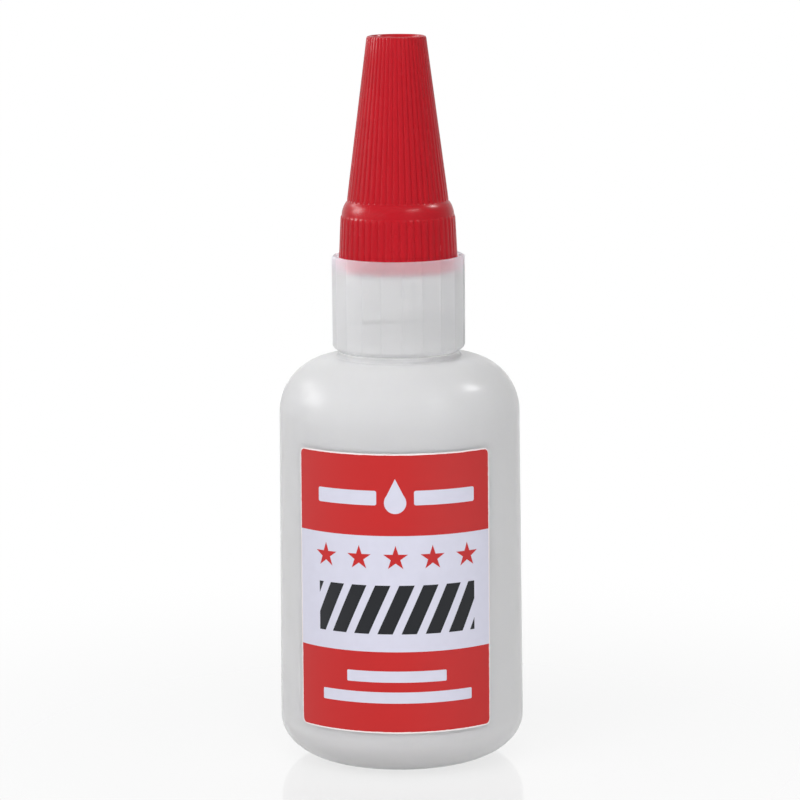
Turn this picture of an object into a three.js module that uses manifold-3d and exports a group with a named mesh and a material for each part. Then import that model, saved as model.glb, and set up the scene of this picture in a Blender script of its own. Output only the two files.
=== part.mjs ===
// A squeeze bottle of glue: a blown bottle with its label and its fill, a dropper nozzle that a fluted screw
// collar holds in the neck, and a ribbed cone cap whose steel needle keeps the spout clear.
// Millimetres, +Z up, origin at the middle of the base, label facing -Y.
import * as THREE from "three";
import { mergeVertices } from "three/addons/utils/BufferGeometryUtils.js";
import Module from "manifold-3d";

const wasm = await Module();
wasm.setup();

// Fits
const SEAT_GAP = 0.3; // between faces that seat on each other along the axis
const SIDE_GAP = 0.3; // all round a piece that slides into another

// Bottle
const BODY_DIAMETER = 37.3; // over the base corner
const BODY_TAPER = 0.35; // lost from the radius between the base corner and the shoulder
const BODY_WALL = 1.1;
const SHOULDER_CREST = 61.9; // base to the flat crest round the neck
const SHOULDER_RADIUS = 8.5;
const BASE_CORNER_WIDTH = 8.65; // the base corner is a quarter ellipse
const BASE_CORNER_HEIGHT = 6.4;
const FOOT_RING_WIDTH = 3.5; // flat ring that the bottle stands on
const PUSH_UP_DEPTH = 1; // hollow inside the foot ring
const PUSH_UP_SLOPE = 1.4;
const NECK_BORE = 12.6;
const NECK_WALL = 1.5;
const NECK_HEIGHT = 10.2; // shoulder crest to the neck's rim
const NECK_RING_WIDTH = 1.45; // low ring round the neck's root, which the collar's foot stops over
const NECK_RING_HEIGHT = 0.65;
const HEADSPACE = 10.5; // shoulder crest down to the glue's level

// Label, die-cut flat and then wrapped round the tapered wall
const LABEL_WIDTH = 32;
const LABEL_BOTTOM_MARGIN = 1.05;
const LABEL_TOP_MARGIN = 3.55;
const LABEL_CORNER = 1;
const LABEL_THICKNESS = 0.15;
const LABEL_ADHESIVE = 0.1;

// Cap
const CAP_HEIGHT = 35.45;
const CAP_BAND_DIAMETER = 18.14; // at its foot
const CAP_BAND_HEIGHT = 8;
const CAP_BAND_DRAFT = 0.36; // lost from the radius over the band's height
const CAP_STEP_HEIGHT = 2.6; // rounded step from the band up to the cone
const CAP_STEP_SWEEP = 60; // degrees of an ellipse that the step follows
const CAP_CONE_DIAMETER = 15.34; // where the cone leaves the step
const CAP_TOP_DIAMETER = 9.04;
const CAP_WALL = 0.97;
const CAP_ROOF = 1.4;
const CAP_DISH_DEPTH = 0.5; // shallow dish in the top face
const CAP_DISH_RIM = 0.9;
const CAP_EDGE = 0.3;
const CAP_RIBS = 48;
const CAP_RIB_DEPTH = 0.25;
const CAP_RIB_RUN_OUT = 0.4; // height over which a groove fades out
const CAP_SLEEVE_WALL = 0.9; // threaded sleeve inside the band
const CAP_SLEEVE_RECESS = 0.5; // the sleeve stops short of the band's foot
const CAP_POCKET = 0.8; // between band and sleeve
const CAP_THREAD_SPACE = 0.6; // between sleeve and nozzle boss
const NEEDLE_BOSS_DIAMETER = 3.8;
const NEEDLE_BOSS_LENGTH = 4.25;

// Needle
const NEEDLE_DIAMETER = 0.8;
const NEEDLE_GRIP_GAP = 0.12; // round the needle in the cap's boss
const NEEDLE_TIP_GAP = 0.2; // round the needle in the spout's tip
const NEEDLE_REACH = 7; // below the spout's tip
const NEEDLE_POINT = 1.2;

// Nozzle
const FLANGE_THICKNESS = 1;
const PLUG_LENGTH = 5;
const PLUG_WALL = 1;
const PLUG_LEAD_IN = 0.4;
const BOSS_HEIGHT = 7.6;
const BOSS_CHAMFER = 0.4;
const SPOUT_SHOULDER = 1.6; // ledge from the boss in to the spout's root
const SPOUT_TIP_DIAMETER = 2.8;
const SPOUT_TIP_LAND = 2; // straight hole at the spout's tip
const SPOUT_WALL = 1;

// Collar
const COLLAR_FLUTES = 20;
const COLLAR_FLUTE_DEPTH = 0.2;
const COLLAR_SKIRT_WALL = 0.9;
const COLLAR_RIM_WALL = 0.53;
const COLLAR_WEB = 1; // ring that presses on the nozzle's flange
const COLLAR_WELL_DEPTH = 2.6; // how deep the cap sits in the collar
const COLLAR_CHAMFER_WIDTH = 0.75;
const COLLAR_CHAMFER_HEIGHT = 0.6;
const COLLAR_EDGE = 0.2;
const NECK_THREAD_SPACE = 1.2; // between neck and collar

// Facets
const BODY_SIDES = 48;
const BORE_SIDES = 40;
const NEEDLE_SIDES = 12;
const ARC_STEPS = 6;
const CUT_OVERRUN = 1; // a cutter runs this far past the face that it opens

// Radii and heights that follow from the driving dimensions
const bodyRadius = BODY_DIAMETER / 2;
const bodyTopRadius = bodyRadius - BODY_TAPER;
const neckBoreRadius = NECK_BORE / 2;
const neckRadius = neckBoreRadius + NECK_WALL;
const neckRim = SHOULDER_CREST + NECK_HEIGHT;
const neckRingRadius = neckRadius + NECK_RING_WIDTH;
const neckRingTop = SHOULDER_CREST + NECK_RING_HEIGHT;
const shoulderRadius = Math.min(SHOULDER_RADIUS, bodyTopRadius - neckRingRadius);
const shoulderStart = SHOULDER_CREST - shoulderRadius;
const footOuterRadius = bodyRadius - BASE_CORNER_WIDTH;
const pushUpRadius = footOuterRadius - FOOT_RING_WIDTH;

const capFootRadius = CAP_BAND_DIAMETER / 2;
const capBandTopRadius = capFootRadius - CAP_BAND_DRAFT;
const capConeRadius = CAP_CONE_DIAMETER / 2;
const capTopRadius = CAP_TOP_DIAMETER / 2;
const coneStart = CAP_BAND_HEIGHT + CAP_STEP_HEIGHT;
const pocketOuterRadius = capFootRadius - CAP_WALL;
const sleeveOuterRadius = pocketOuterRadius - CAP_POCKET;
const sleeveRadius = sleeveOuterRadius - CAP_SLEEVE_WALL;
const roofUnderside = CAP_HEIGHT - CAP_DISH_DEPTH - CAP_ROOF;
const needleBossFoot = roofUnderside - NEEDLE_BOSS_LENGTH;
const needleRadius = NEEDLE_DIAMETER / 2;
const needleHoleTop = roofUnderside + CAP_ROOF / 2;

const bossRadius = sleeveRadius - CAP_THREAD_SPACE;
const collarBoreRadius = neckRadius + NECK_THREAD_SPACE;
const flangeRadius = collarBoreRadius - SIDE_GAP;
const wellRadius = capFootRadius + SIDE_GAP;
const collarRadius =
  Math.max(wellRadius + COLLAR_RIM_WALL, collarBoreRadius + COLLAR_SKIRT_WALL) + COLLAR_FLUTE_DEPTH;
const webHoleRadius = sleeveRadius + SIDE_GAP;

const flangeFoot = neckRim + SEAT_GAP;
const webFoot = flangeFoot + FLANGE_THICKNESS + SEAT_GAP;
const capFoot = webFoot + COLLAR_WEB + SEAT_GAP;
const collarFoot = neckRingTop + SEAT_GAP;
const spoutTip = capFoot + needleBossFoot - SEAT_GAP;

const point = (radius, height) => new THREE.Vector2(radius, height);

// Points of an elliptical arc in the profile plane, angles in degrees from the outward direction.
function arc(radius, height, halfWidth, halfHeight, from, to, steps = ARC_STEPS) {
  return Array.from({ length: steps + 1 }, (_, i) => {
    const angle = THREE.MathUtils.degToRad(from + ((to - from) * i) / steps);
    return point(radius + halfWidth * Math.cos(angle), height + halfHeight * Math.sin(angle));
  });
}

// A profile turned round the Z axis.
function revolve(profile, sides) {
  return new THREE.LatheGeometry(profile, sides).rotateX(Math.PI / 2);
}

// A skin over loops of equally many points. The last loop joins the first, or both ends are closed by fans.
function loft(loops, joined) {
  const count = loops[0].length;
  const positions = loops.flat().flatMap((p) => [p.x, p.y, p.z]);
  const triangles = [];
  const at = (loop, i) => (loop % loops.length) * count + (i % count);
  for (let loop = 0; loop < loops.length - (joined ? 0 : 1); loop++) {
    for (let i = 0; i < count; i++) {
      triangles.push(at(loop, i), at(loop, i + 1), at(loop + 1, i + 1));
      triangles.push(at(loop, i), at(loop + 1, i + 1), at(loop + 1, i));
    }
  }
  if (!joined) {
    for (const last of [false, true]) {
      const loop = last ? loops.length - 1 : 0;
      const middle = loops[loop].reduce((sum, p) => sum.add(p), new THREE.Vector3()).divideScalar(count);
      const centre = positions.push(middle.x, middle.y, middle.z) / 3 - 1;
      for (let i = 0; i < count; i++) {
        const edge = [at(loop, i), at(loop, i + 1)];
        triangles.push(centre, ...(last ? edge : edge.reverse()));
      }
    }
  }
  return new THREE.BufferGeometry()
    .setAttribute("position", new THREE.Float32BufferAttribute(positions, 3))
    .setIndex(triangles);
}

// A point at an angle round the axis, counted from the front.
function onCircle(radius, angle, height) {
  return new THREE.Vector3(radius * Math.sin(angle), -radius * Math.cos(angle), height);
}

// Loops of a revolved profile with grooves all round. Each profile entry is radius, height and groove depth,
// and a groove's section is a list of its stations: share of the pitch, share of the depth.
function groovedLoops(profile, grooves, section) {
  return profile.map(([radius, height, depth]) =>
    Array.from({ length: grooves }, (_, groove) =>
      section.map(([along, share]) =>
        onCircle(radius - depth * share, ((groove + along) * 2 * Math.PI) / grooves, height),
      ),
    ).flat(),
  );
}

// Solids for joins and cuts
function toSolid(geometry) {
  const bare = geometry.clone();
  bare.deleteAttribute("normal");
  bare.deleteAttribute("uv");
  const merged = mergeVertices(bare);
  return new wasm.Manifold(
    new wasm.Mesh({
      numProp: 3,
      vertProperties: merged.attributes.position.array,
      triVerts: new Uint32Array(merged.index.array),
    }),
  );
}

function fromSolid(solid) {
  const { vertProperties, triVerts } = solid.getMesh();
  return new THREE.BufferGeometry()
    .setAttribute("position", new THREE.BufferAttribute(vertProperties, 3))
    .setIndex(new THREE.BufferAttribute(triVerts, 1));
}

// The bottle's inside from the floor's middle up to its shoulder, drawn in by a wall and any further gap.
function insideProfile(inset) {
  const corner = Math.min(BASE_CORNER_HEIGHT, BASE_CORNER_WIDTH) - inset;
  return [
    point(0, PUSH_UP_DEPTH + inset),
    point(pushUpRadius - PUSH_UP_SLOPE, PUSH_UP_DEPTH + inset),
    point(pushUpRadius, inset),
    ...arc(
      bodyRadius - inset - (corner * BASE_CORNER_WIDTH) / BASE_CORNER_HEIGHT,
      inset + corner,
      (corner * BASE_CORNER_WIDTH) / BASE_CORNER_HEIGHT,
      corner,
      -90,
      0,
    ),
    ...arc(
      bodyTopRadius - shoulderRadius,
      shoulderStart,
      shoulderRadius - inset,
      shoulderRadius - inset,
      0,
      90,
    ),
  ];
}

// Blown bottle: push-up base, rounded corner, tapered wall, round shoulder, ring and neck, open at the rim
function bottleGeometry() {
  const outside = [
    point(0, PUSH_UP_DEPTH),
    point(pushUpRadius - PUSH_UP_SLOPE, PUSH_UP_DEPTH),
    point(pushUpRadius, 0),
    ...arc(footOuterRadius, BASE_CORNER_HEIGHT, BASE_CORNER_WIDTH, BASE_CORNER_HEIGHT, -90, 0),
    ...arc(bodyTopRadius - shoulderRadius, shoulderStart, shoulderRadius, shoulderRadius, 0, 90),
    point(neckRingRadius, SHOULDER_CREST),
    point(neckRingRadius, neckRingTop),
    point(neckRadius, neckRingTop),
    point(neckRadius, neckRim),
  ];
  const inside = [...insideProfile(BODY_WALL), point(neckBoreRadius, SHOULDER_CREST - BODY_WALL)];
  return revolve([...outside, point(neckBoreRadius, neckRim), ...inside.reverse()], BODY_SIDES);
}

// The glue fills the bottle up to its level
function glueGeometry() {
  const filled = [...insideProfile(BODY_WALL + SIDE_GAP), point(0, SHOULDER_CREST - BODY_WALL - SIDE_GAP)];
  const headspace = new THREE.CylinderGeometry(BODY_DIAMETER, BODY_DIAMETER, HEADSPACE, NEEDLE_SIDES)
    .rotateX(Math.PI / 2)
    .translate(0, 0, SHOULDER_CREST - HEADSPACE / 2);
  return fromSolid(toSolid(revolve(filled, BODY_SIDES)).subtract(toSolid(headspace)));
}

// The wall's outer radius at a height between the base corner and the shoulder
function wallRadius(height) {
  const share = (height - BASE_CORNER_HEIGHT) / (shoulderStart - BASE_CORNER_HEIGHT);
  return bodyRadius - BODY_TAPER * share;
}

// Label with rounded corners: upright columns lofted round the wall, shorter near the two side edges
function labelGeometry() {
  const bottom = BASE_CORNER_HEIGHT + LABEL_BOTTOM_MARGIN;
  const top = shoulderStart - LABEL_TOP_MARGIN;
  const onWall = (lift, station, height) => {
    const radius = wallRadius(height);
    return onCircle(radius + lift, (station - LABEL_WIDTH / 2) / radius, height);
  };
  const cornerStations = Array.from({ length: ARC_STEPS }, (_, i) => {
    const angle = (i / ARC_STEPS) * (Math.PI / 2);
    return LABEL_CORNER * (1 - Math.cos(angle));
  });
  const straight = LABEL_WIDTH - 2 * LABEL_CORNER;
  const straightSteps = Math.ceil(((straight / bodyRadius) * BODY_SIDES) / (2 * Math.PI));
  const straightStations = Array.from(
    { length: straightSteps + 1 },
    (_, i) => LABEL_CORNER + (straight * i) / straightSteps,
  );
  const stations = [
    ...cornerStations,
    ...straightStations,
    ...cornerStations.map((station) => LABEL_WIDTH - station).reverse(),
  ];
  const columns = stations.map((station) => {
    const toEdge = Math.min(station, LABEL_WIDTH - station, LABEL_CORNER);
    const inset = LABEL_CORNER - Math.sqrt(LABEL_CORNER ** 2 - (LABEL_CORNER - toEdge) ** 2);
    return [
      onWall(LABEL_ADHESIVE, station, bottom + inset),
      onWall(LABEL_ADHESIVE, station, top - inset),
      onWall(LABEL_ADHESIVE + LABEL_THICKNESS, station, top - inset),
      onWall(LABEL_ADHESIVE + LABEL_THICKNESS, station, bottom + inset),
    ];
  });
  return loft(columns, false);
}

// Dropper nozzle, from its flange's foot: plug in the neck, flange on the rim, threaded boss and hollow spout
function nozzleGeometry() {
  const plugRadius = neckBoreRadius - SIDE_GAP;
  const spoutRootRadius = bossRadius - SPOUT_SHOULDER;
  const bossTop = FLANGE_THICKNESS + BOSS_HEIGHT;
  const tip = spoutTip - flangeFoot;
  const tipHoleRadius = needleRadius + NEEDLE_TIP_GAP;
  const throatRadius = Math.min(bossRadius - SPOUT_WALL, plugRadius - PLUG_WALL);
  const outline = [
    point(plugRadius - PLUG_LEAD_IN, -PLUG_LENGTH),
    point(plugRadius, PLUG_LEAD_IN - PLUG_LENGTH),
    point(plugRadius, 0),
    point(flangeRadius, 0),
    point(flangeRadius, FLANGE_THICKNESS),
    point(bossRadius, FLANGE_THICKNESS),
    point(bossRadius, bossTop - BOSS_CHAMFER),
    point(bossRadius - BOSS_CHAMFER, bossTop),
    point(spoutRootRadius, bossTop),
    point(SPOUT_TIP_DIAMETER / 2, tip),
    point(tipHoleRadius, tip),
    point(tipHoleRadius, tip - SPOUT_TIP_LAND),
    point(spoutRootRadius - SPOUT_WALL, bossTop - SPOUT_WALL),
    point(throatRadius, FLANGE_THICKNESS),
    point(plugRadius - PLUG_WALL, 0),
    point(plugRadius - PLUG_WALL, -PLUG_LENGTH),
  ];
  return revolve([...outline, outline[0]], BORE_SIDES);
}

// Screw collar, from its own foot: fluted skirt round the neck, web on the nozzle's flange, well for the cap
function collarGeometry() {
  const webTop = webFoot + COLLAR_WEB - collarFoot;
  const rim = webTop + COLLAR_WELL_DEPTH;
  const flute = [
    [0, 0],
    [1 / 4, 3 / 4],
    [1 / 2, 1],
    [3 / 4, 3 / 4],
  ];
  const profile = [
    [collarRadius - COLLAR_CHAMFER_WIDTH, 0, 0],
    [collarRadius - COLLAR_FLUTE_DEPTH, COLLAR_CHAMFER_HEIGHT, 0],
    [collarRadius, 2 * COLLAR_CHAMFER_HEIGHT, COLLAR_FLUTE_DEPTH],
    [collarRadius, rim - COLLAR_EDGE, COLLAR_FLUTE_DEPTH],
    [collarRadius - COLLAR_EDGE, rim, COLLAR_FLUTE_DEPTH],
    [wellRadius, rim, 0],
    [wellRadius, webTop, 0],
    [webHoleRadius, webTop, 0],
    [webHoleRadius, webTop - COLLAR_WEB, 0],
    [collarBoreRadius, webTop - COLLAR_WEB, 0],
    [collarBoreRadius, 0, 0],
  ];
  return loft(groovedLoops(profile, COLLAR_FLUTES, flute), true);
}

// Cap, from its own foot: a ribbed band and cone, cored to leave a threaded sleeve and a boss for the needle
function capGeometry() {
  const rib = [
    [0, 0],
    [0.55, 0],
    [0.775, 1],
  ];
  const sweep = THREE.MathUtils.degToRad(CAP_STEP_SWEEP);
  const stepHalfWidth = (capBandTopRadius - capConeRadius) / (1 - Math.cos(sweep));
  const step = arc(
    capBandTopRadius - stepHalfWidth,
    CAP_BAND_HEIGHT,
    stepHalfWidth,
    CAP_STEP_HEIGHT / Math.sin(sweep),
    0,
    CAP_STEP_SWEEP,
    ARC_STEPS - 1,
  );
  const blankProfile = [
    [capFootRadius, 0, CAP_RIB_DEPTH],
    [capBandTopRadius, CAP_BAND_HEIGHT, CAP_RIB_DEPTH],
    ...step.slice(1).map((p) => [p.x, p.y, 0]),
    [capConeRadius, coneStart + CAP_RIB_RUN_OUT, CAP_RIB_DEPTH],
    [capTopRadius, CAP_HEIGHT - CAP_EDGE, CAP_RIB_DEPTH],
    [capTopRadius - CAP_EDGE, CAP_HEIGHT, CAP_RIB_DEPTH / 2],
    [capTopRadius - CAP_DISH_RIM, CAP_HEIGHT, 0],
    [capTopRadius - CAP_DISH_RIM - CAP_DISH_DEPTH, CAP_HEIGHT - CAP_DISH_DEPTH, 0],
  ];
  const needleHoleRadius = needleRadius + NEEDLE_GRIP_GAP;
  const core = [
    point(0, -CUT_OVERRUN),
    point(pocketOuterRadius, -CUT_OVERRUN),
    point(pocketOuterRadius, CAP_SLEEVE_RECESS),
    point(sleeveRadius, CAP_SLEEVE_RECESS),
    point(sleeveRadius, CAP_BAND_HEIGHT),
    point(capConeRadius - CAP_WALL - CAP_RIB_DEPTH, coneStart),
    point(capTopRadius - CAP_WALL - CAP_RIB_DEPTH, roofUnderside),
    point(NEEDLE_BOSS_DIAMETER / 2, roofUnderside),
    point(NEEDLE_BOSS_DIAMETER / 2, needleBossFoot),
    point(needleHoleRadius, needleBossFoot),
    point(needleHoleRadius, needleHoleTop),
    point(0, needleHoleTop),
  ];
  const pocket = [
    point(sleeveOuterRadius, 0),
    point(pocketOuterRadius, 0),
    point(pocketOuterRadius - CAP_BAND_DRAFT, CAP_BAND_HEIGHT - CAP_WALL),
    point(sleeveOuterRadius, CAP_BAND_HEIGHT - CAP_WALL),
  ];
  const blank = toSolid(loft(groovedLoops(blankProfile, CAP_RIBS, rib), false));
  return fromSolid(
    blank
      .subtract(toSolid(revolve(core, BORE_SIDES)))
      .subtract(toSolid(revolve([...pocket, pocket[0]], BORE_SIDES))),
  );
}

// Steel needle, from the cap's foot: its head is held in the boss and its point hangs inside the spout
function needleGeometry() {
  const head = needleHoleTop - SEAT_GAP;
  const end = needleBossFoot - SEAT_GAP - NEEDLE_REACH;
  const outline = [
    point(0, end),
    point(needleRadius / 2, end),
    point(needleRadius, end + NEEDLE_POINT),
    point(needleRadius, head),
    point(0, head),
  ];
  return revolve(outline, NEEDLE_SIDES);
}

// Finishes
const naturalPlastic = { color: 0xdcdedc, roughness: 0.38, metalness: 0 };
const finishes = {
  bottle: { ...naturalPlastic },
  glue: { color: 0xe6e5da, roughness: 0.15, metalness: 0 },
  label: { color: 0xc9302f, roughness: 0.45, metalness: 0 },
  closure: { ...naturalPlastic, color: 0xe2e4e4 },
  cap: { color: 0xc01c26, roughness: 0.35, metalness: 0 },
  steel: { color: 0xc8cacc, roughness: 0.25, metalness: 1 },
};

function piece(name, geometry, finish, height = 0) {
  const mesh = new THREE.Mesh(geometry, new THREE.MeshStandardMaterial(finish));
  mesh.name = name;
  mesh.position.z = height;
  return mesh;
}

// Assembly: the closure stands on the neck's rim, and the cap with its needle stands on the closure
const cap = new THREE.Group();
cap.position.z = capFoot - flangeFoot;
cap.add(piece("cap_shell", capGeometry(), finishes.cap));
cap.add(piece("cap_needle", needleGeometry(), finishes.steel));

const closure = new THREE.Group();
closure.position.z = flangeFoot;
closure.add(piece("dropper_nozzle", nozzleGeometry(), finishes.closure));
closure.add(piece("screw_collar", collarGeometry(), finishes.closure, collarFoot - flangeFoot));
closure.add(cap);

const glueBottle = new THREE.Group();
glueBottle.add(piece("bottle_shell", bottleGeometry(), finishes.bottle));
glueBottle.add(piece("glue_fill", glueGeometry(), finishes.glue));
glueBottle.add(piece("front_label", labelGeometry(), finishes.label));
glueBottle.add(closure);

export default glueBottle;
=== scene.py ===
import math

import bmesh
import bpy
from mathutils import Matrix, Vector


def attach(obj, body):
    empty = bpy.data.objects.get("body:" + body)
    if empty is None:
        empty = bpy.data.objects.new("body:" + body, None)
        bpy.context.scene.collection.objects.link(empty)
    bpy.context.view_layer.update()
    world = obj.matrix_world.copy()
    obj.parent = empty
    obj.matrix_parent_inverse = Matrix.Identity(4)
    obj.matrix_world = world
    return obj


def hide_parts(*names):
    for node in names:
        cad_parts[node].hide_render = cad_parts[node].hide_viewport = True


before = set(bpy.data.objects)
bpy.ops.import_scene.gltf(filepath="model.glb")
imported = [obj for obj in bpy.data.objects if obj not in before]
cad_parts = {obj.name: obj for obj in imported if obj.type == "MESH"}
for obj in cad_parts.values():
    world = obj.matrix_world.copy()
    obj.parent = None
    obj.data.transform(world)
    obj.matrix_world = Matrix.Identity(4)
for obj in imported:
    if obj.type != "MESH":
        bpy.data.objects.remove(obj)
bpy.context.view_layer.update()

# Bottle
# One blow moulding of natural polyethylene: milky, half gloss, a little uneven where the parison stretched.
# It stands on a foot ring round a hollow base, and its neck takes the nozzle and the collar.
MM = 0.001
BODY_RADIUS = 18.65
BODY_TOP_RADIUS = 18.3
BODY_WALL = 1.1
SHOULDER_CREST = 61.9
SHOULDER_RADIUS = 8.5
SHOULDER_START = SHOULDER_CREST - SHOULDER_RADIUS
BASE_CORNER_WIDTH = 8.65
BASE_CORNER_HEIGHT = 6.4
PUSH_UP_RADIUS = 6.5
PUSH_UP_DEPTH = 1.0
PUSH_UP_SLOPE = 1.4
NECK_BORE_RADIUS = 6.3
NECK_RADIUS = 7.8
NECK_RIM = 72.1
NECK_RING_RADIUS = 9.25
NECK_RING_TOP = 62.75
NECK_RING_ROUND = 0.1
NECK_RING_FILLET = 0.5
NECK_FILLET = 0.3
RIM_ROUND = 0.25
BOTTLE_SEGMENTS = 192


def around(radius, angle, height):
    """A point in metres, from mm and an angle counted from the front."""
    return Vector((radius * math.sin(angle), -radius * math.cos(angle), height)) * MM


def arc(radius, height, half_width, half_height, start, end, steps):
    """Profile points along an elliptical arc, angles in degrees from the outward direction."""
    points = []
    for i in range(steps + 1):
        angle = math.radians(start + (end - start) * i / steps)
        points.append((radius + half_width * math.cos(angle), height + half_height * math.sin(angle)))
    return points


def even_stations(count):
    """Equal steps round a full turn, with no groove at any."""
    return [(2 * math.pi * i / count, 0.0) for i in range(count)]


def build_object(name, bm, sharp_degrees=35):
    """An object in the scene from a finished bmesh, smooth but for its sharp edges."""
    bmesh.ops.recalc_face_normals(bm, faces=bm.faces)
    mesh = bpy.data.meshes.new(name)
    bm.to_mesh(mesh)
    bm.free()
    mesh.shade_smooth()
    mesh.set_sharp_from_angle(angle=math.radians(sharp_degrees))
    made = bpy.data.objects.new(name, mesh)
    bpy.context.collection.objects.link(made)
    return made


def turned(name, profile, stations, sharp_degrees=35):
    """A profile of radius, height and groove depth in mm, turned round the Z axis.

    It starts and ends on the axis or else closes on itself. Each station is an angle and the share of the
    groove depth that is cut away there.
    """
    bm = bmesh.new()
    rings = []
    for radius, height, *groove in profile:
        depth = groove[0] if groove else 0.0
        if radius == 0:
            rings.append([bm.verts.new((0, 0, height * MM))])
        else:
            rings.append([
                bm.verts.new(around(radius - depth * cut, angle, height)) for angle, cut in stations])
    following = rings[1:] if len(rings[0]) == 1 else rings[1:] + rings[:1]
    for lower, upper in zip(rings, following):
        for i in range(len(stations)):
            corners = []
            for ring, k in ((lower, i), (lower, i + 1), (upper, i + 1), (upper, i)):
                corner = ring[k % len(ring)]
                if corner not in corners:
                    corners.append(corner)
            bm.faces.new(corners)
    return build_object(name, bm, sharp_degrees)


def base_curve(inset):
    """The hollow base from its middle out to the foot ring, a soft S in section."""
    points = [(0, PUSH_UP_DEPTH + inset)]
    for i in range(11):
        t = i / 10
        drop = t * t * (3 - 2 * t)
        points.append((PUSH_UP_RADIUS - PUSH_UP_SLOPE * (1 - t), PUSH_UP_DEPTH * (1 - drop) + inset))
    return points


def wall_radius(height):
    """The tapered wall's radius at a height between the base corner and the shoulder."""
    share = (height - BASE_CORNER_HEIGHT) / (SHOULDER_START - BASE_CORNER_HEIGHT)
    return BODY_RADIUS + (BODY_TOP_RADIUS - BODY_RADIUS) * share


def wall_curve(inset):
    """The body from the foot ring up to the shoulder's crest, drawn in by an inset."""
    corner_height = BASE_CORNER_HEIGHT - inset
    corner_width = corner_height * BASE_CORNER_WIDTH / BASE_CORNER_HEIGHT
    shoulder = SHOULDER_RADIUS - inset
    levels = [BASE_CORNER_HEIGHT + (SHOULDER_START - BASE_CORNER_HEIGHT) * k / 8 for k in range(1, 8)]
    corner_middle = BODY_RADIUS - inset - corner_width
    return [
        *arc(corner_middle, BASE_CORNER_HEIGHT, corner_width, corner_height, -90, 0, 28),
        *[(wall_radius(level) - inset, level) for level in levels],
        *arc(BODY_TOP_RADIUS - SHOULDER_RADIUS, SHOULDER_START, shoulder, shoulder, 0, 90, 32),
    ]


neck_outside = [
    *arc(
        NECK_RING_RADIUS + NECK_RING_FILLET, SHOULDER_CREST + NECK_RING_FILLET,
        NECK_RING_FILLET, NECK_RING_FILLET, -90, -180, 10),
    *arc(
        NECK_RING_RADIUS - NECK_RING_ROUND, NECK_RING_TOP - NECK_RING_ROUND,
        NECK_RING_ROUND, NECK_RING_ROUND, 0, 90, 4),
    *arc(NECK_RADIUS + NECK_FILLET, NECK_RING_TOP + NECK_FILLET, NECK_FILLET, NECK_FILLET, -90, -180, 6),
    *arc(NECK_RADIUS - RIM_ROUND, NECK_RIM - RIM_ROUND, RIM_ROUND, RIM_ROUND, 0, 90, 5),
    *arc(NECK_BORE_RADIUS + RIM_ROUND, NECK_RIM - RIM_ROUND, RIM_ROUND, RIM_ROUND, 90, 180, 5),
]
inside = [
    (NECK_BORE_RADIUS, SHOULDER_CREST - BODY_WALL),
    *reversed(wall_curve(BODY_WALL)),
    *reversed(base_curve(BODY_WALL)),
]
bottle = turned(
    "bottle",
    [*base_curve(0.0), *wall_curve(0.0), *neck_outside, *inside],
    even_stations(BOTTLE_SEGMENTS),
)


def put(tree, kind, inputs, **settings):
    """A node: its settings, and its inputs by name or number, each a value or an output to link."""
    made = tree.nodes.new(kind)
    for name, value in settings.items():
        setattr(made, name, value)
    for key, value in inputs.items():
        if isinstance(value, bpy.types.NodeSocket):
            tree.links.new(value, made.inputs[key])
        else:
            made.inputs[key].default_value = value
    return made


def calc(tree, operation, *values):
    """The result of a Math node."""
    return put(tree, "ShaderNodeMath", dict(enumerate(values)), operation=operation).outputs[0]


def noise(tree, place, scale, detail):
    """The value of a Noise texture."""
    return put(
        tree, "ShaderNodeTexNoise", {"Vector": place, "Scale": scale, "Detail": detail}).outputs["Fac"]


def between(tree, factor, low, high):
    """A mix of two colours."""
    made = put(tree, "ShaderNodeMix", {}, data_type="RGBA")
    for index, value in ((0, factor), (6, low), (7, high)):
        if isinstance(value, bpy.types.NodeSocket):
            tree.links.new(value, made.inputs[index])
        else:
            made.inputs[index].default_value = value
    return made.outputs[2]


def new_group(name, inputs, outputs):
    """An empty shader node group with its sockets, and its input and output nodes."""
    group = bpy.data.node_groups.new(name, "ShaderNodeTree")
    for label, kind, default in inputs:
        socket = group.interface.new_socket(label, in_out="INPUT", socket_type=kind)
        socket.default_value = default
    for label, kind in outputs:
        group.interface.new_socket(label, in_out="OUTPUT", socket_type=kind)
    return group, group.nodes.new("NodeGroupInput").outputs, group.nodes.new("NodeGroupOutput").inputs


def new_material(name):
    """A new material, its node tree and its Principled shader."""
    made = bpy.data.materials.new(name)
    made.use_nodes = True
    shader = made.node_tree.nodes["Principled BSDF"]
    return made, made.node_tree, shader


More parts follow.
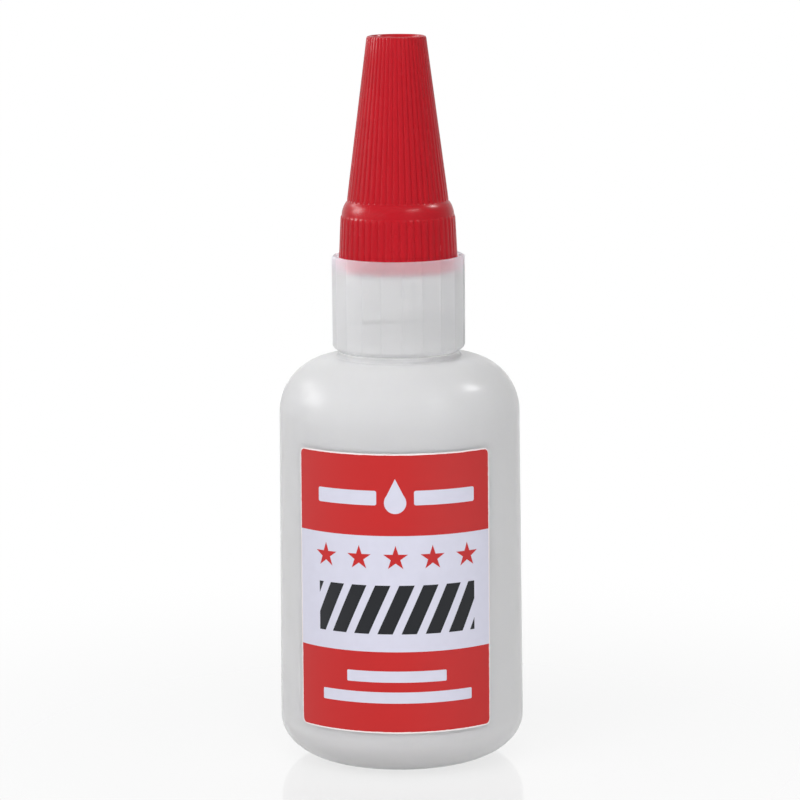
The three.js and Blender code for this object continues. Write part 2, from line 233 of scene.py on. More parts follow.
def moulded_group():
    """Moulded plastic: clouding in the melt, streaks drawn up the wall, a faint grain from the mould."""
    group, given, result = new_group(
        "Moulded plastic",
        [
            ("Colour", "NodeSocketColor", (0.8, 0.8, 0.8, 1)),
            ("Shade", "NodeSocketColor", (0.7, 0.7, 0.7, 1)),
            ("Cloud scale", "NodeSocketFloat", 90.0),
            ("Streak scale", "NodeSocketFloat", 400.0),
            ("Grain scale", "NodeSocketFloat", 1500.0),
            ("Grain height", "NodeSocketFloat", 0.3),
            ("Roughness", "NodeSocketFloat", 0.4),
            ("Roughness spread", "NodeSocketFloat", 0.1),
        ],
        [("Colour", "NodeSocketColor"), ("Roughness", "NodeSocketFloat"), ("Height", "NodeSocketFloat")],
    )
    place = put(group, "ShaderNodeTexCoord", {}).outputs["Object"]
    clouds = noise(group, place, given["Cloud scale"], 3.0)
    drawn = put(group, "ShaderNodeMapping", {"Vector": place, "Scale": (1.0, 1.0, 0.04)}).outputs[0]
    streaks = noise(group, drawn, given["Streak scale"], 2.0)
    grain = noise(group, place, given["Grain scale"], 2.0)
    mottle = calc(group, "MULTIPLY_ADD", streaks, 0.4, calc(group, "MULTIPLY", clouds, 0.6))
    spread = calc(group, "SUBTRACT", mottle, 0.5)
    roughness = calc(group, "MULTIPLY_ADD", spread, given["Roughness spread"], given["Roughness"])
    relief = calc(group, "MULTIPLY_ADD", grain, given["Grain height"], mottle)
    group.links.new(between(group, mottle, given["Shade"], given["Colour"]), result["Colour"])
    group.links.new(roughness, result["Roughness"])
    group.links.new(relief, result["Height"])
    return group


moulded = moulded_group()


def moulded_material(name, settings, relief, **finish):
    """A plastic on the moulded group, with its own relief in metres and its own shader values."""
    made, tree, shader = new_material(name)
    surface = put(tree, "ShaderNodeGroup", {}, node_tree=moulded)
    for key, value in settings.items():
        surface.inputs[key].default_value = value
    bump = put(tree, "ShaderNodeBump", {
        "Height": surface.outputs["Height"], "Distance": relief, "Strength": 1.0})
    tree.links.new(surface.outputs["Colour"], shader.inputs["Base Color"])
    tree.links.new(surface.outputs["Roughness"], shader.inputs["Roughness"])
    tree.links.new(bump.outputs[0], shader.inputs["Normal"])
    for key, value in finish.items():
        shader.inputs[key.replace("_", " ")].default_value = value
    return made


bottle.data.materials.append(moulded_material(
    "Natural polyethylene",
    {
        "Colour": (0.88, 0.88, 0.875, 1), "Shade": (0.82, 0.825, 0.82, 1), "Cloud scale": 70.0,
        "Streak scale": 260.0, "Grain scale": 900.0, "Grain height": 0.03,
        "Roughness": 0.22, "Roughness spread": 0.14,
    },
    relief=0.00009,
    Subsurface_Weight=1.0, Subsurface_Scale=0.005, Subsurface_Radius=(1.0, 1.0, 0.95),
    IOR=1.5, Specular_IOR_Level=0.045, Transmission_Weight=0.05,
))
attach(bottle, "bottle")
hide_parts("bottle_shell")

# Base seam
# Where the mould pinches the parison shut it leaves a low seam across the hollow base.
# It is part of the moulding and stays clear of the table.
SEAM_HALF_LENGTH = 4.6
SEAM_HALF_WIDTH = 0.3
SEAM_HEIGHT = 0.35
SEAM_ROOT = 0.1
SEAM_STEPS = 24
SEAM_POINTS = 9


def join_loops(bm, loops):
    """Four-sided faces between each closed loop of points and the next."""
    count = len(loops[0])
    for first, second in zip(loops, loops[1:]):
        for k in range(count):
            following = (k + 1) % count
            bm.faces.new((first[k], first[following], second[following], second[k]))


def base_seam():
    """A low round-backed ridge along X under the hollow base, running out at both ends."""
    bm = bmesh.new()
    loops = []
    for i in range(SEAM_STEPS + 1):
        along = -1 + 2 * i / SEAM_STEPS
        swell = math.sqrt(max(0.02, 1 - along ** 4))
        loop = []
        for k in range(SEAM_POINTS):
            turn = math.pi * k / (SEAM_POINTS - 1)
            loop.append(bm.verts.new(Vector((
                along * SEAM_HALF_LENGTH,
                math.cos(turn) * SEAM_HALF_WIDTH * swell,
                PUSH_UP_DEPTH + SEAM_ROOT - math.sin(turn) * (SEAM_HEIGHT * swell + SEAM_ROOT),
            )) * MM))
        loops.append(loop)
    join_loops(bm, loops)
    bm.faces.new(loops[0])
    bm.faces.new(loops[-1])
    return build_object("base_seam", bm)


seam = base_seam()
seam.data.materials.append(bottle.data.materials[0])
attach(seam, "bottle")

# Neck thread
# A single-start thread moulded on the neck, one and a half turns at 3.175 mm, with run-outs at both ends.
# The collar screws down on it.
NECK_THREAD_HEIGHT = 0.35
NECK_THREAD_PITCH = 3.175
NECK_THREAD_START = 65.6
NECK_THREAD_TURNS = 1.5
NECK_THREAD_HALF_WIDTH = 0.95
THREAD_STEPS = 72
THREAD_ROOT = 0.08


def helix(name, radius, height, start, pitch, turns, half_width, from_turn=0.0):
    """A thread ridge on a cylinder, outward for a positive height and inward for a negative one."""
    bm = bmesh.new()
    root = radius - math.copysign(THREAD_ROOT, height)
    loops = []
    count = int(THREAD_STEPS * turns)
    for i in range(count + 1):
        turn = turns * i / count
        swell = min(1.0, 4 * turn, 4 * (turns - turn))
        swell = math.sin(max(0.03, swell) * math.pi / 2)
        angle = 2 * math.pi * (turn + from_turn)
        level = start + pitch * turn
        section = (
            (root, -half_width), (radius + 0.45 * height * swell, -0.72 * half_width),
            (radius + height * swell, -0.30 * half_width), (radius + height * swell, 0.30 * half_width),
            (radius + 0.45 * height * swell, 0.72 * half_width), (root, half_width),
        )
        loops.append([bm.verts.new(around(r, angle, level + offset)) for r, offset in section])
    join_loops(bm, loops)
    bm.faces.new(loops[0])
    bm.faces.new(loops[-1])
    return build_object(name, bm, sharp_degrees=50)


neck_thread = helix(
    "neck_thread", NECK_RADIUS, NECK_THREAD_HEIGHT, NECK_THREAD_START, NECK_THREAD_PITCH, NECK_THREAD_TURNS,
    NECK_THREAD_HALF_WIDTH, from_turn=0.45)
neck_thread.data.materials.append(bottle.data.materials[0])
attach(neck_thread, "bottle")

# Glue
# A thick, slightly warm and cloudy liquid that fills the bottle to just under the shoulder.
# It lies against the wall inside and creeps up it in a small meniscus.
GLUE_LEVEL = 51.4
GLUE_GAP = 0.06
MENISCUS = 0.7
MENISCUS_WIDTH = 4.5
MENISCUS_FADE = 0.9
MENISCUS_STEPS = 12


def glue_profile():
    """The bottle's inside up to the level, then the free surface in from the wall to the axis."""
    inset = BODY_WALL + GLUE_GAP
    below = [p for p in (*base_curve(inset), *wall_curve(inset)) if p[1] < GLUE_LEVEL - 2]
    wall = wall_radius(GLUE_LEVEL) - inset
    surface = []
    for i in range(MENISCUS_STEPS + 1):
        inward = MENISCUS_WIDTH * i / MENISCUS_STEPS
        surface.append((wall - inward, GLUE_LEVEL + MENISCUS * math.exp(-inward / MENISCUS_FADE)))
    return [*below, *surface, (wall / 2, GLUE_LEVEL), (0, GLUE_LEVEL)]


glue = turned("glue", glue_profile(), even_stations(128))
glue.data.materials.append(moulded_material(
    "Cloudy glue",
    {
        "Colour": (0.88, 0.875, 0.85, 1), "Shade": (0.82, 0.815, 0.79, 1), "Cloud scale": 60.0,
        "Streak scale": 80.0, "Grain scale": 200.0, "Roughness": 0.12, "Roughness spread": 0.05,
    },
    relief=0.00002,
    Subsurface_Weight=1.0, Subsurface_Scale=0.006, Subsurface_Radius=(1.0, 0.98, 0.9),
))
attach(glue, "bottle")
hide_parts("glue_fill")

# Label
# Die-cut white film with round corners, printed red above and below a white panel, glued round the front.
# Five stars, stripes and plain bars are printed on it, a little right of its middle. Its cut edge is bare.
LABEL_WIDTH = 32.0
LABEL_BOTTOM = 7.45
LABEL_TOP = 49.85
LABEL_CORNER = 1.0
LABEL_LIFT = 0.04
LABEL_THICKNESS = 0.1
LABEL_ROWS = 24


def label_sheet():
    """The flat sheet's columns wrapped on the wall, shorter near the two round-cornered side edges."""
    corner = [LABEL_CORNER * (1 - math.cos(math.pi / 2 * i / 8)) for i in range(8)]
    straight = LABEL_WIDTH - 2 * LABEL_CORNER
    stations = [*corner, *[LABEL_CORNER + straight * i / 60 for i in range(61)]]
    stations += [LABEL_WIDTH - s for s in reversed(corner)]
    bm = bmesh.new()
    columns = []
    for station in stations:
        to_edge = min(station, LABEL_WIDTH - station, LABEL_CORNER)
        inset = LABEL_CORNER - math.sqrt(LABEL_CORNER ** 2 - (LABEL_CORNER - to_edge) ** 2)
        low, high = LABEL_BOTTOM + inset, LABEL_TOP - inset
        levels = [low + (high - low) * k / LABEL_ROWS for k in range(LABEL_ROWS + 1)]
        places = [(LABEL_LIFT + LABEL_THICKNESS, z) for z in levels]
        places += [(LABEL_LIFT, z) for z in reversed(levels)]
        columns.append([
            bm.verts.new(around(wall_radius(z) + lift, (station - LABEL_WIDTH / 2) / wall_radius(z), z))
            for lift, z in places])
    join_loops(bm, columns)
    for column in (columns[0], columns[-1]):
        for k in range(LABEL_ROWS):
            bm.faces.new((column[k], column[k + 1], column[-2 - k], column[-1 - k]))
    return build_object("label", bm)


label = label_sheet()


def box_mask_group():
    """A rectangle with round corners, in mm: 1 inside and 0 outside, and the distance from its edge."""
    group, given, result = new_group(
        "Box mask",
        [(name, "NodeSocketFloat", value) for name, value in (
            ("U", 0.0), ("V", 0.0), ("Centre U", 0.0), ("Centre V", 0.0), ("Half width", 1.0),
            ("Half height", 1.0), ("Corner", 0.0))],
        [("Mask", "NodeSocketFloat"), ("Distance", "NodeSocketFloat")],
    )
    up = calc(group, "SUBTRACT", given["V"], given["Centre V"])
    across = calc(group, "ABSOLUTE", calc(group, "SUBTRACT", given["U"], given["Centre U"]))
    out_u = calc(group, "ADD", calc(group, "SUBTRACT", across, given["Half width"]), given["Corner"])
    out_v = calc(group, "ADD", calc(
        group, "SUBTRACT", calc(group, "ABSOLUTE", up), given["Half height"]), given["Corner"])
    round_u = calc(group, "MAXIMUM", out_u, 0.0)
    round_v = calc(group, "MAXIMUM", out_v, 0.0)
    reach = calc(group, "SQRT", calc(group, "MULTIPLY_ADD", round_u, round_u, calc(
        group, "MULTIPLY", round_v, round_v)))
    inner = calc(group, "MINIMUM", calc(group, "MAXIMUM", out_u, out_v), 0.0)
    distance = calc(group, "SUBTRACT", calc(group, "ADD", reach, inner), given["Corner"])
    group.links.new(distance, result["Distance"])
    group.links.new(calc(group, "LESS_THAN", distance, 0.0), result["Mask"])
    return group


def star_mask_group():
    """A row of equal five-pointed stars, one point up: 1 inside and 0 outside, all in mm."""
    group, given, result = new_group(
        "Star row mask",
        [(name, "NodeSocketFloat", value) for name, value in (
            ("U", 0.0), ("V", 0.0), ("Centre V", 0.0), ("Spacing", 5.5), ("Half row", 13.0),
            ("Radius", 1.5))],
        [("Mask", "NodeSocketFloat")],
    )
    shifted = calc(group, "MULTIPLY_ADD", given["Spacing"], 0.5, given["U"])
    cell = calc(group, "SUBTRACT", calc(group, "FLOORED_MODULO", shifted, given["Spacing"]), calc(
        group, "MULTIPLY", given["Spacing"], 0.5))
    up = calc(group, "SUBTRACT", given["V"], given["Centre V"])
    reach = calc(group, "SQRT", calc(group, "MULTIPLY_ADD", cell, cell, calc(group, "MULTIPLY", up, up)))
    fifth = math.radians(72)
    turn = calc(group, "ADD", calc(group, "ARCTAN2", cell, up), fifth / 2)
    fold = calc(group, "ABSOLUTE", calc(
        group, "SUBTRACT", calc(group, "FLOORED_MODULO", turn, fifth), fifth / 2))
    along = calc(group, "MULTIPLY", reach, calc(group, "COSINE", fold))
    aside = calc(group, "MULTIPLY", reach, calc(group, "SINE", fold))
    notch = 0.382
    notch_along = notch * math.cos(fifth / 2)
    notch_aside = notch * math.sin(fifth / 2)
    edge = calc(group, "SUBTRACT", calc(group, "MULTIPLY", aside, notch_along - 1), calc(
        group, "MULTIPLY", calc(group, "SUBTRACT", along, given["Radius"]), notch_aside))
    inside_star = calc(group, "GREATER_THAN", edge, 0.0)
    in_row = calc(group, "LESS_THAN", calc(group, "ABSOLUTE", given["U"]), given["Half row"])
    group.links.new(calc(group, "MULTIPLY", inside_star, in_row), result["Mask"])
    return group


box_mask = box_mask_group()
star_mask = star_mask_group()
PRINT_SHIFT = 0.5
WHITE_BOTTOM = 19.9
WHITE_TOP = 37.5
BARE_EDGE = 0.22
NICK_DEPTH = 0.12
LABEL_RED = (0.54, 0.022, 0.022, 1)
LABEL_WHITE = (0.66, 0.66, 0.775, 1)
LABEL_BLACK = (0.012, 0.013, 0.016, 1)
BARE_FILM = (0.84, 0.78, 0.78, 1)
STAR_HEIGHT = 34.1
STAR_SPACING = 5.55
STAR_RADIUS = 1.95
STAR_HALF_ROW = 13.6
STRIPE_HEIGHT = 26.3
STRIPE_PITCH = 3.6
STRIPE_HALF_WIDTH = 1.15
STRIPE_LEAN = 0.45
STRIPE_FIELD = (12.4, 3.7)
DROP_HEIGHT = 42.5
DROP_RADIUS = 1.65
DROP_POINT = 46.1
DROP_TAPER_START = 43.3
TOP_RULES = ((-7.6, 43.2, 4.8, 1.1, 0.3), (7.6, 43.2, 4.8, 1.1, 0.3))
LOW_RULES = ((0.0, 16.1, 7.6, 0.85, 0.2), (0.0, 12.9, 11.8, 0.85, 0.2))


def label_material():
    """Printed film: panels, stars, stripes, drop and rules under a satin varnish, bare at the cut edge."""
    made, tree, shader = new_material("Printed film")
    place = put(tree, "ShaderNodeTexCoord", {}).outputs["Object"]
    axes = put(tree, "ShaderNodeSeparateXYZ", {"Vector": place}).outputs
    turn = calc(tree, "ARCTAN2", axes["X"], calc(tree, "MULTIPLY", axes["Y"], -1.0))
    height = calc(tree, "MULTIPLY", axes["Z"], 1000.0)
    wall = put(tree, "ShaderNodeMapRange", {
        "Value": height, "From Min": BASE_CORNER_HEIGHT, "From Max": SHOULDER_START, "To Min": BODY_RADIUS,
        "To Max": BODY_TOP_RADIUS}).outputs[0]
    along = calc(tree, "MULTIPLY", turn, wall)
    printed = calc(tree, "SUBTRACT", along, PRINT_SHIFT)

    def box(u, centre_u, centre_v, half_width, half_height, corner=0.0):
        return put(tree, "ShaderNodeGroup", {
            "U": u, "V": height, "Centre U": centre_u, "Centre V": centre_v, "Half width": half_width,
            "Half height": half_height, "Corner": corner}, node_tree=box_mask).outputs

    def either(*masks):
        total = masks[0]
        for mask in masks[1:]:
            total = calc(tree, "MAXIMUM", total, mask)
        return total

    middle = (LABEL_TOP + LABEL_BOTTOM) / 2
    half_height = (LABEL_TOP - LABEL_BOTTOM) / 2
    sheet = box(along, 0.0, middle, LABEL_WIDTH / 2, half_height, LABEL_CORNER)["Distance"]
    nicks = noise(tree, place, 1400.0, 2.0)
    edge_reach = calc(tree, "MULTIPLY_ADD", calc(tree, "SUBTRACT", nicks, 0.5), NICK_DEPTH, -BARE_EDGE)
    inked = calc(tree, "LESS_THAN", sheet, edge_reach)
    white_panel = box(
        along, 0.0, (WHITE_TOP + WHITE_BOTTOM) / 2, LABEL_WIDTH, (WHITE_TOP - WHITE_BOTTOM) / 2)["Mask"]
    stars = put(tree, "ShaderNodeGroup", {
        "U": printed, "V": height, "Centre V": STAR_HEIGHT, "Spacing": STAR_SPACING,
        "Half row": STAR_HALF_ROW, "Radius": STAR_RADIUS}, node_tree=star_mask).outputs[0]

    stripe_up = calc(tree, "SUBTRACT", height, STRIPE_HEIGHT)
    shifted = calc(tree, "ADD", printed, STRIPE_PITCH / 2)
    leant = calc(tree, "MULTIPLY_ADD", stripe_up, -STRIPE_LEAN, shifted)
    cell = calc(tree, "SUBTRACT", calc(tree, "FLOORED_MODULO", leant, STRIPE_PITCH), STRIPE_PITCH / 2)
    slant = calc(tree, "LESS_THAN", calc(tree, "ABSOLUTE", cell), STRIPE_HALF_WIDTH)
    stripes = calc(tree, "MULTIPLY", slant, box(printed, 0.0, STRIPE_HEIGHT, *STRIPE_FIELD)["Mask"])

    ball_up = calc(tree, "SUBTRACT", height, DROP_HEIGHT)
    ball_reach = calc(tree, "SQRT", calc(tree, "MULTIPLY_ADD", printed, printed, calc(
        tree, "MULTIPLY", ball_up, ball_up)))
    ball = calc(tree, "LESS_THAN", ball_reach, DROP_RADIUS)
    taper = calc(tree, "MULTIPLY", calc(tree, "SUBTRACT", DROP_POINT, height), 0.5)
    point = calc(tree, "MULTIPLY", calc(tree, "LESS_THAN", calc(tree, "ABSOLUTE", printed), taper), calc(
        tree, "GREATER_THAN", height, DROP_TAPER_START))
    rules = [box(printed, *rule)["Mask"] for rule in (*TOP_RULES, *LOW_RULES)]

    fibre = noise(tree, place, 700.0, 4.0)
    wash = noise(tree, place, 55.0, 2.0)
    ink_spread = calc(tree, "MULTIPLY_ADD", wash, 0.7, calc(tree, "MULTIPLY", fibre, 0.3))
    deep_red = tuple(c * 0.86 for c in LABEL_RED[:3]) + (1,)
    red = between(tree, ink_spread, deep_red, LABEL_RED)
    dull_white = tuple(c * 0.93 for c in LABEL_WHITE[:3]) + (1,)
    white = between(tree, fibre, dull_white, LABEL_WHITE)
    ground = between(tree, inked, BARE_FILM, between(tree, white_panel, red, white))
    ground = between(tree, either(ball, point, *rules), ground, white)
    ground = between(tree, stars, ground, red)
    ground = between(tree, stripes, ground, LABEL_BLACK)
    tree.links.new(ground, shader.inputs["Base Color"])
    tree.links.new(calc(tree, "MULTIPLY_ADD", fibre, 0.18, 0.34), shader.inputs["Roughness"])
    bump = put(tree, "ShaderNodeBump", {
        "Height": calc(tree, "MULTIPLY_ADD", wash, 2.0, fibre), "Distance": 0.00002, "Strength": 1.0})
    tree.links.new(bump.outputs[0], shader.inputs["Normal"])
    shader.inputs["Specular IOR Level"].default_value = 0.25
    return made


label.data.materials.append(label_material())
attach(label, "bottle")
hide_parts("front_label")

# Nozzle
# A natural polyethylene moulding: plug in the neck, flange on its rim, threaded boss and long thin spout.
# The collar clamps its flange, and the cap hides it until it is unscrewed.
FLANGE_FOOT = 72.4
FLANGE_TOP = 73.4
FLANGE_RADIUS = 8.7
PLUG_RADIUS = 6.0
PLUG_FOOT = 67.4
BOSS_RADIUS = 5.8
BOSS_TOP = 81.0
SPOUT_ROOT_RADIUS = 4.2
SPOUT_TIP = 104.0
SPOUT_TIP_RADIUS = 1.4
SPOUT_HOLE_RADIUS = 0.6
CAP_THREAD_PITCH = 2.5

nozzle_profile = [
    (5.6, PLUG_FOOT), (PLUG_RADIUS, PLUG_FOOT + 0.4), (PLUG_RADIUS, FLANGE_FOOT),
    *arc(FLANGE_RADIUS - 0.2, FLANGE_FOOT + 0.2, 0.2, 0.2, -90, 0, 4),
    *arc(FLANGE_RADIUS - 0.2, FLANGE_TOP - 0.2, 0.2, 0.2, 0, 90, 4),
    *arc(BOSS_RADIUS + 0.3, FLANGE_TOP + 0.3, 0.3, 0.3, -90, -180, 4),
    *arc(BOSS_RADIUS - 0.4, BOSS_TOP - 0.4, 0.4, 0.4, 0, 90, 5),
    *arc(SPOUT_ROOT_RADIUS + 0.4, BOSS_TOP + 0.5, 0.5, 0.5, -90, -175, 6),
    *arc(SPOUT_TIP_RADIUS - 0.25, SPOUT_TIP - 0.25, 0.25, 0.25, 0, 90, 5),
    (SPOUT_HOLE_RADIUS + 0.1, SPOUT_TIP), (SPOUT_HOLE_RADIUS, SPOUT_TIP - 0.1),
    (SPOUT_HOLE_RADIUS, SPOUT_TIP - 2.0), (SPOUT_ROOT_RADIUS - 1.0, BOSS_TOP - 1.0),
    (4.8, FLANGE_TOP), (5.0, FLANGE_FOOT), (5.0, PLUG_FOOT),
]
nozzle = turned("nozzle", nozzle_profile, even_stations(96))
nozzle_thread = helix(
    "nozzle_thread", BOSS_RADIUS, height=0.3, start=75.6, pitch=CAP_THREAD_PITCH, turns=1.6,
    half_width=0.7, from_turn=0.1)
for made in (nozzle, nozzle_thread):
    made.data.materials.append(bottle.data.materials[0])
    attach(made, "nozzle")
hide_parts("dropper_nozzle")

# Collar
# Clearer natural polypropylene with twenty shallow flutes to grip, screwed down on the neck.
# Its web clamps the nozzle. Above the web the wall is thin and clears in steps, and the cap's foot shows.
# In the same steps the wall's colour is painted lighter and bluer, a painted brightening of the cap's red
# light seen through it.
COLLAR_FOOT = 62.85
COLLAR_RIM = 77.3
COLLAR_RADIUS = 10.1
COLLAR_FLUTES = 20
COLLAR_FLUTE_DEPTH = 0.15
COLLAR_BORE_RADIUS = 9.0
COLLAR_WELL_RADIUS = 9.37
WEB_FOOT = 73.7
WEB_TOP = 74.7
WEB_HOLE_RADIUS = 6.7
WEB_JOIN = 0.02
WELL_LEVELS = (74.9, 75.3, 75.8)
WALL_CLEARNESS = (0.58, 0.70, 0.79, 0.84)
WALL_TONE = 0.815
# Painted light: each clearer band up the well gets a lighter and bluer colour, which brightens and cools
# the cap's red seen through it.
WALL_PAINTED_LIGHT_STEP = 0.015
WALL_BLUE = 0.007
WALL_PAINTED_BLUE_STEP = 0.012
WALL_SHADE = 0.045
FLUTE_TURN = 0.38
FLUTE_SECTION = (
    (0.0, 0.0), (0.025, 0.10), (0.05, 0.38), (0.10, 0.50), (0.20, 0.72), (0.35, 0.92),
    (0.5, 1.0), (0.65, 0.92), (0.80, 0.72), (0.90, 0.50), (0.95, 0.38), (0.975, 0.10))

flute_stations = [
    (2 * math.pi * (flute + FLUTE_TURN + along) / COLLAR_FLUTES, cut)
    for flute in range(COLLAR_FLUTES) for along, cut in FLUTE_SECTION]
collar_outside = [
    (COLLAR_RADIUS - 0.92, COLLAR_FOOT, 0.0), (COLLAR_RADIUS - 0.80, COLLAR_FOOT + 0.03, 0.0),
    (COLLAR_RADIUS - 0.22, COLLAR_FOOT + 0.50, 0.0), (COLLAR_RADIUS - 0.07, COLLAR_FOOT + 0.66, 0.07),
    (COLLAR_RADIUS - 0.02, COLLAR_FOOT + 0.78, 0.12),
    (COLLAR_RADIUS, COLLAR_FOOT + 1.0, COLLAR_FLUTE_DEPTH),
    *[(COLLAR_RADIUS, level, COLLAR_FLUTE_DEPTH) for level in (*WELL_LEVELS, COLLAR_RIM - 0.25)],
    (COLLAR_RADIUS - 0.07, COLLAR_RIM - 0.08, COLLAR_FLUTE_DEPTH),
    (COLLAR_RADIUS - 0.22, COLLAR_RIM, COLLAR_FLUTE_DEPTH * 0.8),
]
collar_inside = [
    (COLLAR_WELL_RADIUS + 0.12, COLLAR_RIM), (COLLAR_WELL_RADIUS, COLLAR_RIM - 0.12),
    *[(COLLAR_WELL_RADIUS, level) for level in reversed(WELL_LEVELS)], (COLLAR_BORE_RADIUS, WEB_TOP),
    (COLLAR_BORE_RADIUS, COLLAR_FOOT + 0.2), (COLLAR_BORE_RADIUS + 0.08, COLLAR_FOOT + 0.05),
]
web_profile = [
    (WEB_HOLE_RADIUS + 0.1, WEB_TOP), (WEB_HOLE_RADIUS, WEB_TOP - 0.1), (WEB_HOLE_RADIUS, WEB_FOOT + 0.1),
    (WEB_HOLE_RADIUS + 0.1, WEB_FOOT), (COLLAR_BORE_RADIUS - WEB_JOIN, WEB_FOOT),
    (COLLAR_BORE_RADIUS - WEB_JOIN, WEB_TOP),
]
collar = turned("collar", [*collar_outside, *collar_inside], flute_stations, sharp_degrees=24)
collar_web = turned("collar_web", web_profile, even_stations(120))
collar_thread = helix(
    "collar_thread", COLLAR_BORE_RADIUS, height=-0.25, start=64.2, pitch=NECK_THREAD_PITCH, turns=1.6,
    half_width=0.8, from_turn=0.5)
for number, clearness in enumerate(WALL_CLEARNESS):
    # Painted light: the tone and the blue rise band by band up the well, to brighten the cap's red showing
    # through the wall.
    tone_with_painted_light = WALL_TONE + WALL_PAINTED_LIGHT_STEP * number
    blue_with_painted_light = tone_with_painted_light + WALL_BLUE + WALL_PAINTED_BLUE_STEP * number
    collar.data.materials.append(moulded_material(
        "Natural polypropylene %d" % (number + 1),
        {
            "Colour": (tone_with_painted_light, tone_with_painted_light, blue_with_painted_light, 1),
            "Shade": (tone_with_painted_light - WALL_SHADE, tone_with_painted_light - WALL_SHADE, blue_with_painted_light - WALL_SHADE, 1),
            "Cloud scale": 110.0, "Streak scale": 520.0, "Grain scale": 1200.0,
            "Roughness": 0.66, "Roughness spread": 0.12,
        },
        relief=0.00003,
        IOR=1.3, Specular_IOR_Level=0.18, Transmission_Weight=clearness,
    ))
for face in collar.data.polygons:
    face.material_index = sum(face.center.z > level * MM for level in WELL_LEVELS)
collar_web.data.materials.append(bottle.data.materials[0])
collar_thread.data.materials.append(bottle.data.materials[0])
for made in (collar, collar_web, collar_thread):
    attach(made, "collar")
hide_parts("screw_collar")

# Cap
# A red polypropylene moulding: forty-eight grooves on the foot band and on the cone, a smooth rounded step
# between them and a dished top. Inside, a sleeve takes the nozzle's thread and a boss grips the needle.
CAP_FOOT = 75.0
CAP_TOP = 110.45
CAP_FOOT_RADIUS = 9.07
CAP_BAND_TOP_RADIUS = 8.71
CAP_BAND_TOP = CAP_FOOT + 8.0
CAP_STEP_HEIGHT = 2.6
CAP_STEP_SWEEP = 60
CAP_CONE_RADIUS = 7.67
CAP_TOP_RADIUS = 4.52
CAP_TOP_EDGE = 0.35
CAP_DISH_RADIUS = 3.97
CAP_DISH_DEPTH = 0.8
CAP_WALL = 0.97
CAP_RIBS = 48
CAP_RIB_DEPTH = 0.17
RIB_LEDGE = 0.46
RIB_RISE = 0.15
RIB_CONE_END = 0.35
RIB_SECTION = (
    (0.00, 0.10), (0.07, 0.0), (0.28, -0.03), (0.48, 0.0),
    (0.55, 0.10), (0.66, 0.62), (0.775, 1.0), (0.89, 0.62))
SLEEVE_RADIUS = 6.4
SLEEVE_OUTER_RADIUS = 7.3
POCKET_RADIUS = 8.1
ROOF_UNDERSIDE = 108.55
NEEDLE_BOSS_RADIUS = 1.9
NEEDLE_BOSS_FOOT = 104.3
NEEDLE_HOLE_RADIUS = 0.52
NEEDLE_HOLE_TOP = 109.25


